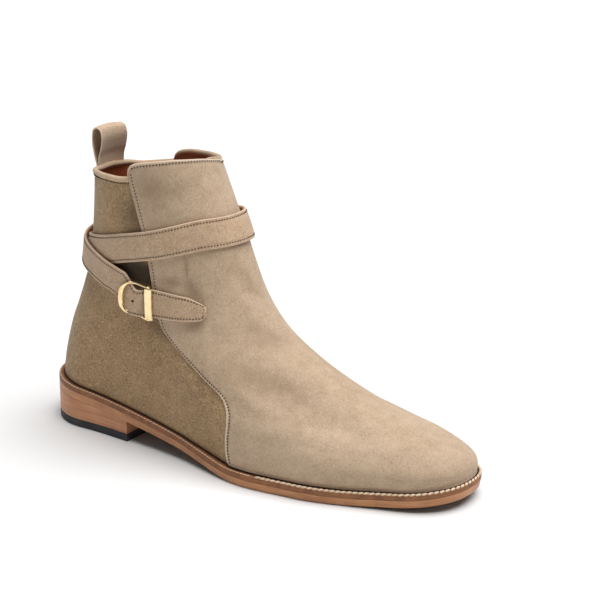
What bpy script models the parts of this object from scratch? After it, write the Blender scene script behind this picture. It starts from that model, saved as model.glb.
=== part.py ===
# Strap boot, right foot: suede upper on a welted leather sole with a stacked heel.
# The shape is worked out in millimetres with the heel's rear at x = 0, the toe along +X,
# the inner side of the foot along +Y and the floor at z = 0.
# It is then moved so that the middle of its footprint is the origin, and turned into metres.

import math

import bmesh
import bpy
import numpy as np

MM = 0.001
GAP = 0.3

# Driving sizes
LENGTH = 298.5
HEEL_LONG = 74.0
HEEL_LIFT_THICK = 5.0
SOLE_THICK = 5.0
SOLE_TAPER = 1.0
WELT_THICK = 3.3
WALL_THICK = 2.0
VAMP_THICK = 1.3
INSOLE_THICK = 3.0
STRAP_WIDE = 18.0
STRAP_TIP_WIDE = 12.8
STRAP_THICK = 2.0
STRAP_GAP = 0.4
BUCKLE_HIGH = 21.3
BUCKLE_LONG = 25.2
BUCKLE_WIRE = 3.2
BUCKLE_BAR = 5.2
BUCKLE_THICK = 1.8
LOOP_WIDE = 24.0
LOOP_HIGH = 24.8
LOOP_DEEP = 12.5
LOOP_THICK = 1.5
LOOP_NECK = 6.0

# Underside of the sole: distance from the heel's rear, height over the floor
UNDERSIDE = [
    (0, 21), (40, 17), (75, 13), (110, 8), (140, 3),
    (165, 0), (225, 0), (265, 2), (303, 7),
]

# Centre line of the last seen from above: distance from the heel's rear, shift to the inner side
CENTRE_LINE = [
    (0, 0), (40, 0), (90, -3), (130, -6), (175, -4.5),
    (205, -0.5), (232, 2), (260, 3.5), (303, 4),
]

# Where the half-breadths of a section are measured, as shares of its length from back to front
BREADTH_AT = (0.0, 0.12, 0.38, 0.58, 0.70, 0.90, 1.0)

# Edge of the sole: back and front end, half-breadths, lengths of its round ends as shares,
# and how square the toe is, from 2 for an ellipse
#            back   front  heel  waist joint ball  toe   heel_end toe_end toe_square
SOLE_EDGE = (0.5, LENGTH, 33.0, 34.5, 47.5, 49.0, 38.5, 0.11, 0.20, 2.3)


def smooth(stations, values, at):
    """Read a table at one or more places, on a curve that never overshoots its rows."""
    stations = np.asarray(stations, float)
    values = np.asarray(values, float).T
    at = np.clip(at, stations[0], stations[-1])
    slope = np.diff(values) / np.diff(stations)
    product = slope[..., :-1] * slope[..., 1:]
    total = np.where(product > 0, slope[..., :-1] + slope[..., 1:], 1.0)
    lean = np.zeros_like(values)
    lean[..., 0] = slope[..., 0]
    lean[..., -1] = slope[..., -1]
    lean[..., 1:-1] = np.where(product > 0, 2 * product / total, 0.0)
    low = np.clip(np.searchsorted(stations, at, side="right") - 1, 0, len(stations) - 2)
    step = stations[low + 1] - stations[low]
    part = (at - stations[low]) / step
    return ((1 + 2 * part) * (1 - part) ** 2 * values[..., low]
            + part * (1 - part) ** 2 * step * lean[..., low]
            + part ** 2 * (3 - 2 * part) * values[..., low + 1]
            + part ** 2 * (part - 1) * step * lean[..., low + 1])


def underside(x):
    return smooth(*np.transpose(UNDERSIDE), x)


def feather_height(x):
    """Height of the line where the upper meets the welt."""
    return underside(x) + SOLE_THICK + WELT_THICK + GAP


def centre_line(x):
    return smooth(*np.transpose(CENTRE_LINE), x)


def half_breadth(part, heel, waist, joint, ball, toe, heel_end, toe_end, toe_square):
    """Half-breadth of a section at shares of its length, round at both ends."""
    breadth = smooth(BREADTH_AT, (heel, heel, waist, joint, ball, toe, toe), part)
    back_round = np.sqrt(1 - np.clip(1 - part / heel_end, 0, 1) ** 2)
    front_round = (1 - np.clip(1 - (1 - part) / toe_end, 0, 1) ** toe_square) ** (1 / toe_square)
    return breadth * back_round * front_round


def plan_edge(edge, x, inset=0.0):
    """Outer and inner side of a flat piece at x, drawn in by an inset."""
    back, front, *breadths, heel_end, toe_end, toe_square = edge
    part = np.clip((x - back - inset) / (front - back - 2 * inset), 0, 1)
    breadths = [breadth - inset for breadth in breadths]
    half = half_breadth(part, *breadths, heel_end, toe_end, toe_square)
    return centre_line(x) - half, centre_line(x) + half


# Sections of the upper from the feather line up to the flap's top.
# Ends: height and place of the back and the front end. Breadths as in SOLE_EDGE.
FEATHER_BACK = 3.5
FEATHER_FRONT = 295.5
UPPER = [
    # back_z back_x front_z front_x heel waist joint ball toe  heel_end toe_end toe_square
    (float(feather_height(FEATHER_BACK)), FEATHER_BACK,
     float(feather_height(FEATHER_FRONT)), FEATHER_FRONT,
     30.0, 31.5, 42.5, 44.3, 34.5, 0.110, 0.200, 2.3),                               # 0 feather
    (37, 5.0, 21, 294.5, 31.0, 33.0, 44.0, 45.5, 35.5, 0.115, 0.205, 2.3),           # 1 bite
    (46, 6.5, 29, 284.5, 31.5, 34.0, 43.0, 42.0, 32.0, 0.130, 0.230, 2.2),           # 2 toe wall
    (56, 9.0, 36, 257, 31.5, 34.0, 40.5, 38.5, 29.0, 0.150, 0.290, 2.1),             # 3 toe top
    (67, 12.0, 48, 222.5, 31.0, 33.5, 38.0, 37.0, 30.0, 0.190, 0.320, 2.0),          # 4 low vamp
    (79, 16.5, 61, 195.0, 30.5, 33.0, 35.5, 35.0, 31.0, 0.250, 0.360, 2.0),          # 5 vamp
    (92, 21.0, 77, 170.0, 30.0, 32.5, 33.5, 33.5, 31.5, 0.330, 0.400, 2.0),          # 6 instep
    (106, 25.5, 96, 153.8, 30.5, 32.5, 33.0, 33.0, 32.0, 0.420, 0.460, 2.0),         # 7 low strap
    (120, 28.0, 116, 143.6, 31.5, 33.0, 33.0, 33.0, 32.5, 0.480, 0.500, 2.0),        # 8 ankle
    (134, 30.5, 136, 134.4, 33.0, 33.5, 33.5, 33.5, 33.5, 0.500, 0.500, 2.0),        # 9 strap
    (149, 33.0, 157, 124.2, 34.0, 34.5, 34.5, 34.5, 34.5, 0.500, 0.500, 2.0),        # 10 cuff
    (163.5, 35.0, 176.5, 115, 34.5, 35.0, 35.0, 35.0, 35.0, 0.500, 0.500, 2.0),      # 11 collar
    (172, 36.0, 185, 111.5, 34.8, 35.3, 35.3, 35.3, 35.3, 0.500, 0.500, 2.0),        # 12 flap top
]
COLLAR = 11
SOLE_FOLLOWS_TO = 4.0
STRAIGHT_FROM = 9.0

# Rear edges of the vamp: level, turn in degrees from the back towards that side
VAMP_OUTER_EDGE = [
    (0.0, 94.2), (1.0, 93.7), (2.1, 96.3), (3.0, 101.4), (3.7, 104.8), (4.6, 102.3),
    (5.9, 95.9), (7.5, 98.0), (9.7, 99.2), (12.0, 98.7),
]
VAMP_INNER_EDGE = [
    (0.0, 94.2), (1.0, 93.7), (2.1, 95.5), (3.0, 98.0), (3.7, 99.0), (4.6, 96.0),
    (5.9, 88.0), (7.5, 81.5), (9.7, 75.0), (12.0, 71.0),
]

# Top edge, all round from the back over the outer side: turn, level
TOP_EDGE = [
    (0, 11.2), (45, 11.2), (70, 11.08), (90, 10.93), (98.7, 11.0), (105.5, 11.93), (113, 12.0),
    (125, 11.95), (142, 11.85), (168, 11.5), (187, 11.2), (205, 11.0), (230, 10.97),
    (253, 11.05), (270, 11.16), (280, 11.13), (287, 10.85), (290, 10.72), (314, 10.77),
    (340, 11.08), (360, 11.2),
]
BACK_TOP = 11.2


def skin(level, turn, lift=0.0):
    """Points of the upper's outer face at one level, moved out by lift."""
    turn = np.asarray(turn, float)
    face = surface(level, turn)
    if lift == 0.0:
        return face
    return face + lift * outward(level, turn)


def surface(level, turn):
    back_z, back_x, front_z, front_x, *breadths = smooth(range(len(UPPER)), UPPER, level)
    angle = np.radians(turn)
    part = (1 - np.cos(angle)) / 2
    x = back_x + (front_x - back_x) * part
    ends = feather_height(back_x) + (feather_height(front_x) - feather_height(back_x)) * part
    bow = max(0.0, 1 - level / SOLE_FOLLOWS_TO) ** 2
    z = back_z + (front_z - back_z) * part + bow * (feather_height(x) - ends)
    sway = centre_line(x) * max(0.0, 1 - level / STRAIGHT_FROM)
    y = sway - half_breadth(part, *breadths) * np.sign(np.sin(angle))
    return np.stack([x, y, z], axis=-1)


def outward(level, turn):
    """Directions square to the upper's outer face; level with the floor at the feather line."""
    step = 0.02
    along = surface(level, turn - 50 * step) - surface(level, turn + 50 * step)
    low = max(0.0, level - step)
    high = min(len(UPPER) - 1.0, level + step)
    up = surface(high, turn) - surface(low, turn)
    across = np.cross(up, along)
    if level == 0.0:
        across[..., 2] = 0.0
    return across / np.linalg.norm(across, axis=-1, keepdims=True)


# Blender objects
FOOTPRINT_X = np.linspace(SOLE_EDGE[0], SOLE_EDGE[1], 400)
FOOTPRINT_Y = plan_edge(SOLE_EDGE, FOOTPRINT_X)
MIDDLE = np.array([
    (SOLE_EDGE[0] + SOLE_EDGE[1]) / 2,
    (FOOTPRINT_Y[0].min() + FOOTPRINT_Y[1].max()) / 2,
    0.0,
])


def finish(name, colour, roughness, metallic=0.0):
    material = bpy.data.materials.new(name)
    material.use_nodes = True
    shader = material.node_tree.nodes["Principled BSDF"]
    shader.inputs["Base Color"].default_value = (*colour, 1.0)
    shader.inputs["Roughness"].default_value = roughness
    shader.inputs["Metallic"].default_value = metallic
    return material


def loft(name, sections, joined, material):
    """Solid through closed sections of equal point counts, joined in a ring or shut at the ends."""
    shape = bmesh.new()
    rows = []
    for section in sections:
        rows.append([shape.verts.new((point - MIDDLE) * MM) for point in section])
    points = len(rows[0])
    pairs = list(zip(rows, rows[1:]))
    if joined:
        pairs.append((rows[-1], rows[0]))
    for first, second in pairs:
        for i in range(points):
            j = (i + 1) % points
            shape.faces.new((first[i], first[j], second[j], second[i]))
    if not joined:
        for row in (rows[0], rows[-1]):
            for i in range(points // 2 - 1):
                shape.faces.new((row[i], row[i + 1], row[points - 2 - i], row[points - 1 - i]))
    bmesh.ops.triangulate(shape, faces=shape.faces, quad_method="SHORT_EDGE")
    bmesh.ops.recalc_face_normals(shape, faces=shape.faces)
    mesh = bpy.data.meshes.new(name)
    shape.to_mesh(mesh)
    shape.free()
    mesh.shade_smooth()
    mesh.set_sharp_from_angle(angle=math.radians(40))
    mesh.materials.append(material)
    piece = bpy.data.objects.new(name, mesh)
    boot.objects.link(piece)
    return piece


def plate_section(edge, share, low, high):
    """Four corners of a plate at a share of its length; low and high are (height at x, inset)."""
    corners = []
    for height, inset in (low, high):
        x = edge[0] + inset + (edge[1] - edge[0] - 2 * inset) * share
        outer, inner = plan_edge(edge, x, inset)
        corners.append([(x, outer, height(x)), (x, inner, height(x))])
    (low_outer, low_inner), (high_outer, high_inner) = corners
    return np.array([low_outer, low_inner, high_inner, high_outer])


def eased(count):
    """Shares of a length, closer together at both ends."""
    return (1 - np.cos((np.arange(count) + 0.5) * math.pi / count)) / 2


for old in list(bpy.data.objects):
    bpy.data.objects.remove(old)
boot = bpy.data.collections.new("strap_boot")
bpy.context.scene.collection.children.link(boot)

suede = finish("suede", (0.50, 0.39, 0.27), 0.95)
sole_leather = finish("sole_leather", (0.43, 0.22, 0.10), 0.5)
welt_leather = finish("welt_leather", (0.15, 0.07, 0.03), 0.55)
heel_rubber = finish("heel_rubber", (0.03, 0.03, 0.035), 0.7)
lining_leather = finish("lining_leather", (0.35, 0.15, 0.06), 0.6)
gold_metal = finish("gold_metal", (0.86, 0.66, 0.36), 0.25, 1.0)


# Heel: rubber top piece on the floor, wedge of stacked leather on it
HEEL_STATIONS = 14
heel_shares = HEEL_LONG / LENGTH * np.linspace(0.02, 1, HEEL_STATIONS) ** 2
loft("heel_top_piece",
     [plate_section(SOLE_EDGE, share, (lambda x: 0.0, GAP), (lambda x: HEEL_LIFT_THICK, GAP))
      for share in heel_shares],
     False, heel_rubber)
loft("heel_stack",
     [plate_section(SOLE_EDGE, share, (lambda x: HEEL_LIFT_THICK + GAP, 0.0),
                    (lambda x: underside(x) - GAP, 0.0))
      for share in heel_shares],
     False, sole_leather)


# Outsole from heel to toe, with its arch and toe spring
SOLE_STATIONS = 44
loft("outsole",
     [plate_section(SOLE_EDGE, share, (underside, SOLE_TAPER),
                    (lambda x: underside(x) + SOLE_THICK - GAP, 0.0))
      for share in eased(SOLE_STATIONS)],
     False, sole_leather)


# Welt: flat strip all round on the outsole, under the edge of the upper
FEATHER_EDGE = (FEATHER_BACK, FEATHER_FRONT, *UPPER[0][4:])
WELT_STATIONS = 72
WELT_INSET = WALL_THICK + GAP


def welt_section(turn):
    part = (1 - math.cos(math.radians(turn))) / 2
    side = 0 if turn < 180 else 1
    corners = []
    for edge, inset in ((SOLE_EDGE, 0.0), (FEATHER_EDGE, WELT_INSET)):
        x = edge[0] + inset + (edge[1] - edge[0] - 2 * inset) * part
        y = plan_edge(edge, x, inset)[side]
        floor = underside(x) + SOLE_THICK
        corners.append([(x, y, floor), (x, y, floor + WELT_THICK)])
    (outer_low, outer_high), (inner_low, inner_high) = corners
    return np.array([outer_low, outer_high, inner_high, inner_low])


loft("welt",
     [welt_section(k * 360 / WELT_STATIONS) for k in range(WELT_STATIONS)],
     True, welt_leather)


# Insole: fills the welt's ring and lies inside the upper
INSOLE_INSET = WELT_INSET + 2 * GAP
INSOLE_TOE_ROOM = 2.5
INSOLE_EDGE = (FEATHER_BACK, FEATHER_FRONT - INSOLE_TOE_ROOM, *UPPER[0][4:])
INSOLE_TOP = SOLE_THICK + WELT_THICK + INSOLE_THICK
loft("insole",
     [plate_section(INSOLE_EDGE, share, (lambda x: underside(x) + SOLE_THICK, INSOLE_INSET),
                    (lambda x: underside(x) + INSOLE_TOP, INSOLE_INSET))
      for share in eased(SOLE_STATIONS)],
     False, lining_leather)


# Upper: one hollow wall, open at the collar and underneath.
# Columns of the mesh follow the vamp's rear edges, so that the vamp lies on it evenly.
QUARTER_COLUMNS = 12
VAMP_COLUMNS = 26
LEVELS = (0, 0.5, 1, 1.5, 2, 2.5, 3, 3.5, 4, 4.5, 5, 5.5, 6, 6.5, 7, 8, 9, 10)


def column_turn(column, level):
    """Turn of a mesh column: columns 0 to 12 on the outer quarter, then vamp, then inner quarter."""
    outer = float(smooth(*np.transpose(VAMP_OUTER_EDGE), level))
    inner = 360 - float(smooth(*np.transpose(VAMP_INNER_EDGE), level))
    return float(np.interp(
        column,
        (0, QUARTER_COLUMNS, QUARTER_COLUMNS + VAMP_COLUMNS, 2 * QUARTER_COLUMNS + VAMP_COLUMNS),
        (0, outer, inner, 360)))


def wall_slice(column, inside, outside):
    """Cut through a wall along one column, up its outer face and down its inner face."""
    edge_level = float(np.interp(column_turn(column, COLLAR), *np.transpose(TOP_EDGE)))
    levels = [*LEVELS, (LEVELS[-1] + edge_level) / 2, edge_level]
    up = [skin(level, column_turn(column, level), outside) for level in levels]
    down = [skin(level, column_turn(column, level), inside) for level in reversed(levels)]
    return np.array(up + down)


loft("upper",
     [wall_slice(column, -WALL_THICK, 0.0) for column in range(2 * QUARTER_COLUMNS + VAMP_COLUMNS)],
     True, suede)


# Vamp: whole front of the boot, laid over the quarters with a rear edge on each side
loft("vamp",
     [wall_slice(column, GAP, GAP + VAMP_THICK)
      for column in range(QUARTER_COLUMNS, QUARTER_COLUMNS + VAMP_COLUMNS + 1)],
     False, suede)


# Strap: one and a half turns round the ankle, from beside the vamp's inner edge to the free tip
STRAP_LIFT_QUARTER = STRAP_GAP
STRAP_LIFT_VAMP = GAP + VAMP_THICK + STRAP_GAP
STRAP_LIFT_CROSSING = 3 * STRAP_GAP + STRAP_THICK
STRAP_LIFT_FRONT = 3.7
STRAP_ROUTE = [
    # turn, level
    (-76, 6.5), (-25, 7.0), (50, 8.0), (98, 8.72), (150, 9.14), (185, 9.12),
    (270, 8.72), (340, 7.85), (410, 7.40), (425, 7.26), (436.9, 7.13), (443, 6.58),
    (451.6, 6.65), (458, 6.74), (478, 6.80), (490, 6.87),
]
STRAP_LIFT = [
    # turn, lift over the upper
    (-76, STRAP_LIFT_QUARTER), (80, STRAP_LIFT_QUARTER), (91, STRAP_LIFT_VAMP),
    (160, STRAP_LIFT_VAMP), (195, STRAP_LIFT_FRONT), (215, STRAP_LIFT_FRONT),
    (260, STRAP_LIFT_VAMP), (290, STRAP_LIFT_VAMP), (316, STRAP_LIFT_CROSSING),
    (437, STRAP_LIFT_CROSSING), (447, STRAP_LIFT_VAMP), (490, STRAP_LIFT_VAMP),
]
STRAP_STEP = 5.0
BEND_TURN = 10.0
STRAP_NARROWS = 455.0
STRAP_END = STRAP_ROUTE[-1][0]
TIP_TURN = 13.0
# The tip's two corners: length as a turn, how far out the straight end reaches, and roundness
UPPER_CORNER = (TIP_TURN, 0.15, 1.4)
LOWER_CORNER = (4.0, 0.3, 2.0)


def strap_level(turn):
    return float(smooth(*np.transpose(STRAP_ROUTE), turn))


def strap_lift(turn):
    return float(np.interp(turn, *np.transpose(STRAP_LIFT)))


def on_strap(turn, across, lift):
    """Point square beside the strap's middle line, across in millimetres up the boot."""
    level = strap_level(turn)
    climb = (strap_level(turn + BEND_TURN) - strap_level(turn - BEND_TURN)) / (2 * BEND_TURN)
    up = skin(level + 0.5, turn) - skin(level - 0.5, turn)
    run = (skin(level, turn + 1) - skin(level, turn - 1)) / 2 + climb * up
    back = np.dot(up, run) / np.dot(run, run)
    share = across / np.linalg.norm(up - back * run)
    return skin(level + share * (1 - back * climb), turn - share * back, strap_lift(turn) + lift)


def strap_half(turn, corner):
    """Half of the strap's width, narrowing to the tip and rounded at one of its corners."""
    long, reach, roundness = corner
    half = float(np.interp(turn, (STRAP_NARROWS, STRAP_END), (STRAP_WIDE / 2, STRAP_TIP_WIDE / 2)))
    left = min(1.0, (STRAP_END - turn) / long)
    return half * (reach + (1 - reach) * (1 - (1 - left) ** roundness) ** (1 / roundness))


def strap_section(turn):
    upper = strap_half(turn, UPPER_CORNER)
    lower = strap_half(turn, LOWER_CORNER)
    return np.array([
        on_strap(turn, -lower, 0.0), on_strap(turn, upper, 0.0),
        on_strap(turn, upper, STRAP_THICK), on_strap(turn, -lower, STRAP_THICK),
    ])


strap_turns = list(np.arange(STRAP_ROUTE[0][0], STRAP_END - TIP_TURN, STRAP_STEP))
strap_turns += list(STRAP_END - TIP_TURN * np.array((1.0, 0.7, 0.4, 0.2, 0.08, 0.0)))
loft("strap", [strap_section(turn) for turn in strap_turns], False, suede)


# Buckle: frame with a round end and a flat bar, over the strap on the outer side.
# Its bar leans along the boot by so many degrees of turn for each level up.
BUCKLE_TURN = 446.7
BUCKLE_LEVEL = 6.715
BAR_LEANS = 4.3
BUCKLE_LIFT = STRAP_THICK + 2 * GAP
DEGREE_LONG = float(np.linalg.norm(skin(BUCKLE_LEVEL, BUCKLE_TURN + 1) - skin(BUCKLE_LEVEL, BUCKLE_TURN)))
LEVEL_HIGH = float(np.linalg.norm(skin(BUCKLE_LEVEL + 0.5, BUCKLE_TURN + BAR_LEANS / 2)
                                  - skin(BUCKLE_LEVEL - 0.5, BUCKLE_TURN - BAR_LEANS / 2)))
BUCKLE_ROUND = BUCKLE_HIGH / 2 - BUCKLE_WIRE / 2
FRAME_STEPS = 12
FACE_SHARE = 0.7


def on_buckle(along, across, lift):
    turn = BUCKLE_TURN + along / DEGREE_LONG
    share = across / LEVEL_HIGH
    lift = strap_lift(turn) + BUCKLE_LIFT + lift
    return skin(BUCKLE_LEVEL + share, turn + BAR_LEANS * share, lift)


def frame_path():
    """Middle line of the frame: the bar's ends, the arms and the half round."""
    bar_at = BUCKLE_LONG / 2 - BUCKLE_BAR / 2
    centre = BUCKLE_ROUND + BUCKLE_WIRE / 2 - BUCKLE_LONG / 2
    path = [(bar_at, share * BUCKLE_ROUND) for share in (-0.5, 0.0, 0.5)]
    for k in range(FRAME_STEPS + 1):
        angle = math.pi / 2 + math.pi * k / FRAME_STEPS
        path.append((centre + BUCKLE_ROUND * math.cos(angle), BUCKLE_ROUND * math.sin(angle)))
    path.insert(3, (bar_at, BUCKLE_ROUND))
    path.append((bar_at, -BUCKLE_ROUND))
    return path


def frame_sections():
    path = frame_path()
    bar_points = (0, 1, 2, 3, len(path) - 1)
    sections = []
    for k, (along, across) in enumerate(path):
        before = np.array(path[k - 1])
        after = np.array(path[(k + 1) % len(path)])
        run = (after - before) / np.linalg.norm(after - before)
        wide = BUCKLE_BAR if k in bar_points else BUCKLE_WIRE
        side = np.array((run[1], -run[0])) * wide / 2
        sections.append(np.array([
            on_buckle(along - side[0], across - side[1], 0.0),
            on_buckle(along + side[0], across + side[1], 0.0),
            on_buckle(along + side[0] * FACE_SHARE, across + side[1] * FACE_SHARE, BUCKLE_THICK),
            on_buckle(along - side[0] * FACE_SHARE, across - side[1] * FACE_SHARE, BUCKLE_THICK),
        ]))
    return sections


loft("buckle", frame_sections(), True, gold_metal)


# Pull loop: suede ribbon doubled into a drop that stands on the collar's back
LOOP_STEPS = 24
LOOP_COLUMNS = 5
LOOP_SHARPNESS = 1.3
LOOP_FULLNESS = 1.15
loop_places = np.linspace(-LOOP_WIDE / 2, LOOP_WIDE / 2, LOOP_COLUMNS)
collar_half = UPPER[COLLAR][4]
loop_seat = skin(BACK_TOP, np.degrees(np.arcsin(-loop_places / collar_half)), -WALL_THICK / 2)


def drop(turn, bottom, high, deep):
    """Outline of a drop: sharp below, round on top."""
    height = bottom + high * (1 - math.cos(turn)) / 2
    half = deep / 2 * abs(math.sin(turn / 2)) ** LOOP_SHARPNESS * LOOP_FULLNESS
    return half * math.sin(turn), height


def loop_section(turn):
    """Cut across the ribbon: over its outer face, back over its inner face."""
    outer = drop(turn, 0.0, LOOP_HIGH, LOOP_DEEP)
    inner = drop(turn, LOOP_NECK, LOOP_HIGH - LOOP_NECK - LOOP_THICK, LOOP_DEEP - 2 * LOOP_THICK)
    section = []
    for (depth, height), seats in ((outer, loop_seat), (inner, loop_seat[::-1])):
        for seat in seats:
            section.append(seat + (depth, 0.0, GAP + height))
    return np.array(section)


loft("pull_loop",
     [loop_section(2 * math.pi * (k + 0.5) / LOOP_STEPS) for k in range(LOOP_STEPS)],
     True, suede)
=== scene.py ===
# Strap boot for the right foot. The sections follow the boot as it is put together, from the
# floor up. Sizes are millimetres with the heel's rear at x = 0, the toe along +X, the inner side
# of the foot along +Y and the floor at z = 0; in_frame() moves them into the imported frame.
import math

import bmesh
import bpy
import numpy as np
from mathutils import Matrix, Vector


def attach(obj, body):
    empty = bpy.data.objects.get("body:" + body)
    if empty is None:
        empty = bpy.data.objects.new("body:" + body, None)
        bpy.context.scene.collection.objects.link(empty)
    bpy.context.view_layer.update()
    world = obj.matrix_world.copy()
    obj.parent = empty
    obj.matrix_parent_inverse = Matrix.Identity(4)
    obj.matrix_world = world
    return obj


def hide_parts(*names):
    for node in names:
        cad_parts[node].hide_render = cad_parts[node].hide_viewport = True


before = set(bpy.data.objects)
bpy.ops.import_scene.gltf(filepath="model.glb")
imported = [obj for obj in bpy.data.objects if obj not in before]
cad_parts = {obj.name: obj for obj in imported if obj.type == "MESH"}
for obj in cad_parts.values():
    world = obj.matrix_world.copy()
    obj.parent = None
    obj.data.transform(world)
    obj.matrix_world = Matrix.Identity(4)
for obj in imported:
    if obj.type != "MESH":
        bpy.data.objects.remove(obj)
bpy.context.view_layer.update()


# Heel top piece: the wear layer of charcoal rubber under the heel. It is moulded as a flat plate,
# glued to the leather lifts above it and trimmed flush with them.
MM = 0.001
FOOT_MIDDLE = np.array((149.5, -1.43, 0.0))
UNDERSIDE = [
    # from the heel's rear, height over the floor
    (0, 21), (40, 17), (75, 13), (110, 8), (140, 3),
    (165, 0), (225, 0), (265, 2), (303, 7),
]
CENTRE_LINE = [
    # from the heel's rear, shift to the inner side
    (0, 0), (40, 0), (90, -3), (130, -6), (175, -4.5),
    (205, -0.5), (232, 2), (260, 3.5), (303, 4),
]
BREADTH_AT = (0.0, 0.12, 0.38, 0.58, 0.70, 0.90, 1.0)
#            back  front  heel  waist joint ball  toe   heel_end toe_end toe_square
SOLE_EDGE = (0.5, 298.5, 33.0, 34.5, 47.5, 49.0, 38.5, 0.11, 0.20, 2.3)
EDGE_ENDS = SOLE_EDGE[-3:]
HEEL_LONG = 74.0
HEEL_LIFT = 5.0
EDGE_TURNS = np.linspace(0, 360, 301)
WELD = 0.02
CUT_WELD = 0.001
# rings of a plate: insets on its flat faces, the first drawn to its middle line, and shares of its side
FLAT_RINGS = (26, 26, 16, 8, 3)
SIDE_RINGS = (0.2, 0.35, 0.5, 0.65, 0.8)
RUBBER_TONES = (44, 44, 48), (70, 69, 72)


def smooth(stations, values, at):
    """Read a table of numbers or arrays on a curve that never overshoots its rows."""
    stations = np.asarray(stations, float)
    at = np.clip(at, stations[0], stations[-1])
    table = np.stack([np.broadcast_to(value, at.shape) for value in values]).astype(float)
    steps = np.diff(stations).reshape(-1, *[1] * at.ndim)
    slope = np.diff(table, axis=0) / steps
    product = slope[:-1] * slope[1:]
    total = np.where(product > 0, slope[:-1] + slope[1:], 1.0)
    lean = np.concatenate([slope[:1], np.where(product > 0, 2 * product / total, 0.0), slope[-1:]])
    low = np.clip(np.searchsorted(stations, at, side="right") - 1, 0, len(stations) - 2)
    step = stations[low + 1] - stations[low]
    part = (at - stations[low]) / step

    def row(source, index):
        return np.take_along_axis(source, index[None], 0)[0]

    return ((1 + 2 * part) * (1 - part) ** 2 * row(table, low)
            + part * (1 - part) ** 2 * step * row(lean, low)
            + part ** 2 * (3 - 2 * part) * row(table, low + 1)
            + part ** 2 * (part - 1) * step * row(lean, low + 1))


def read_all(table, at):
    """Read every column of a table but the first, which holds the places."""
    places, *columns = zip(*table)
    return [smooth(places, column, np.asarray(at, float)) for column in columns]


def read(table, at):
    """Read a two-column table."""
    return read_all(table, at)[0]


def in_frame(points):
    return (np.asarray(points, float) - FOOT_MIDDLE) * MM


def half_breadth(share, heel, waist, joint, ball, toe, heel_end, toe_end, toe_square):
    """Half-breadth at shares of a section's length, round at both ends."""
    breadth = smooth(BREADTH_AT, (heel, heel, waist, joint, ball, toe, toe), share)
    back = np.sqrt(1 - np.clip(1 - share / heel_end, 0, 1) ** 2)
    front = (1 - np.clip(1 - (1 - share) / toe_end, 0, 1) ** toe_square) ** (1 / toe_square)
    return breadth * back * front


def outline(edge, turn, inset):
    """Points of an edge drawn in by an inset: turn 0 at the heel, 90 outside, 180 at the toe."""
    back, front, *breadths, heel_end, toe_end, toe_square = edge
    share = (1 - np.cos(np.radians(turn))) / 2
    x = back + inset + (front - back - 2 * inset) * share
    breadths = [np.maximum(breadth - inset, 0) for breadth in breadths]
    half = half_breadth(share, *breadths, heel_end, toe_end, toe_square)
    return x, read(CENTRE_LINE, x) - half * np.sign(np.sin(np.radians(turn)))


def draped(shape, columns, rows, place):
    """Grid laid over a form: place(u, v) gives its points and what to keep on each of them."""
    start = len(shape.verts)
    bmesh.ops.create_grid(shape, x_segments=len(columns) - 1, y_segments=len(rows) - 1, size=0.5)
    spots = np.array([vert.co.xy for vert in list(shape.verts)[start:]]) + 0.5
    u = np.asarray(columns, float)[np.rint(spots[:, 0] * (len(columns) - 1)).astype(int)]
    v = np.asarray(rows, float)[np.rint(spots[:, 1] * (len(rows) - 1)).astype(int)]
    points, kept = place(u, v)
    layers = shape.verts.layers.float
    stores = {name: layers.get(name) or layers.new(name) for name in kept}
    new = list(shape.verts)[start:]
    for vert, point in zip(new, in_frame(points)):
        vert.co = point
    for name, values in kept.items():
        for vert, value in zip(new, np.broadcast_to(values, u.shape)):
            vert[stores[name]] = value
    return shape


def closed_grid(columns, rows, place, gap=WELD):
    """Shape of a grid that meets itself, with points closer than a gap in millimetres merged."""
    shape = draped(bmesh.new(), columns, rows, place)
    bmesh.ops.remove_doubles(shape, verts=shape.verts, dist=gap * MM)
    bmesh.ops.recalc_face_normals(shape, faces=shape.faces)
    return shape


def slab(edge, profile, height, trim=lambda turn, inset, share: inset):
    """Closed plate: rings of its edge for each (inset, share of its height) of a profile that
    runs from the middle of its underside round its side to the middle of its top."""
    insets, shares = np.transpose(profile)
    rows = np.arange(len(profile))

    def place(turn, row):
        row = row.astype(int)
        inset = trim(turn, insets[row], shares[row])
        x, y = outline(edge, turn, inset)
        ends = (row == 0) | (row == len(profile) - 1)
        y = np.where(ends, read(CENTRE_LINE, x), y)
        points = np.stack([x, y, height(x, shares[row])], -1)
        return points, {"share": shares[row], "along_mm": x, "inset_mm": inset}

    return closed_grid(EDGE_TURNS, rows, place)


def eased_side(steps, corner, top_corner, high):
    """Profile of a plate's side with rounded lower and upper corners, sizes in millimetres."""
    turns = np.linspace(0, math.pi / 2, steps)
    low = [(corner * (1 - math.sin(t)), corner * (1 - math.cos(t)) / high) for t in turns]
    top = [(top_corner * (1 - math.cos(t)), 1 - top_corner * (1 - math.sin(t)) / high) for t in turns]
    side = [(0.0, share) for share in SIDE_RINGS]
    under = [(inset, 0) for inset in FLAT_RINGS]
    over = [(inset, 1) for inset in reversed(FLAT_RINGS)]
    return under + low + side + top + over


def cut_at_breast(shape):
    """Cut a plate square across at the heel's breast and close the cut."""
    cut = in_frame((HEEL_LONG, 0, 0))
    parts = list(shape.verts) + list(shape.edges) + list(shape.faces)
    bmesh.ops.bisect_plane(shape, geom=parts, dist=CUT_WELD * MM, plane_co=cut, plane_no=(1, 0, 0),
                           clear_outer=True)
    rim = [edge for edge in shape.edges if edge.is_boundary]
    bmesh.ops.contextual_create(shape, geom=rim)
    bmesh.ops.recalc_face_normals(shape, faces=shape.faces)
    return shape


def tone(red, green, blue):
    """Colour from a screen's 0 to 255 values."""
    return tuple(((c / 255 + 0.055) / 1.055) ** 2.4 for c in (red, green, blue)) + (1.0,)


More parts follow.
